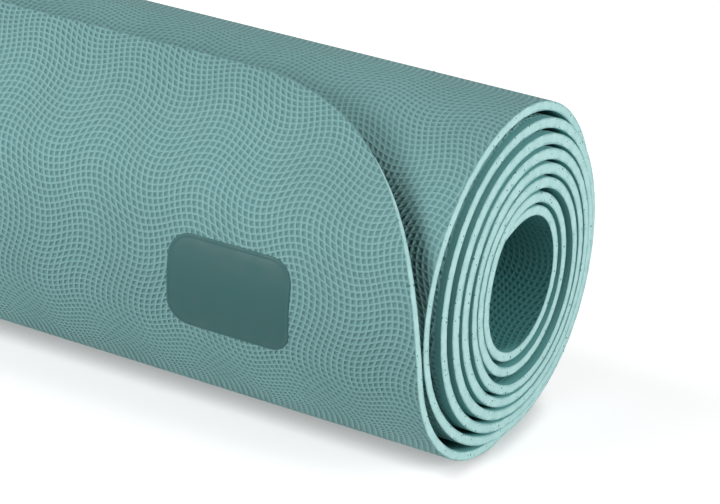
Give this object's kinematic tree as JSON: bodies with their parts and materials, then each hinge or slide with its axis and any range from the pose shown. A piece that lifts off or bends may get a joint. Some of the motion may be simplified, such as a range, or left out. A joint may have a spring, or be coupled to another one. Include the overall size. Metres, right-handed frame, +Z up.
{
  "type": "yoga mat",
  "caption": "Foam yoga mat wound into a loose roll, with a net emboss on both faces, round corners and a free outer end that peels open.",
  "frame": {"origin": "middle of the underside of the part's bounding box, on the floor that the roll lies on", "axes": "+X along the roll's axis towards the end that the picture shows, +Z up, and the free outer end faces -Y"},
  "size_m": [0.6178, 0.112, 0.1087],
  "materials": {
    "face_skin": "teal foam skin with a fine wavy net emboss",
    "back_skin": "teal foam skin with a fine wavy net emboss",
    "foam_core": "cut mint foam with small pores",
    "patch": "smooth pressed dark teal"
  },
  "bodies": {
    "roll": {"roll_face_skin": "face_skin", "roll_foam_core": "foam_core", "roll_back_skin": "back_skin"},
    "front_wrap": {"front_wrap_face_skin": "face_skin", "front_wrap_foam_core": "foam_core", "front_wrap_back_skin": "back_skin", "pressed_patch": "patch"},
    "free_edge": {"free_edge_face_skin": "face_skin", "free_edge_foam_core": "foam_core", "free_edge_back_skin": "back_skin"}
  },
  "joints": [
    {"name": "wrap_fold", "type": "hinge", "parent": "roll", "child": "front_wrap", "pos_m": [0, -0.03359, 0.01348], "axis": [1, 0, 0], "range_deg": [0, 65], "stiffness_Nm_per_rad": 0.05, "springref_deg": -34.38},
    {"name": "edge_fold", "type": "hinge", "parent": "front_wrap", "child": "free_edge", "pos_m": [0, -0.04248, 0.09181], "axis": [1, 0, 0], "range_deg": [0, 52]}
  ],
  "couplings": [
    {"joint": "edge_fold", "follows": "wrap_fold", "ratio": 0.8}
  ]
}
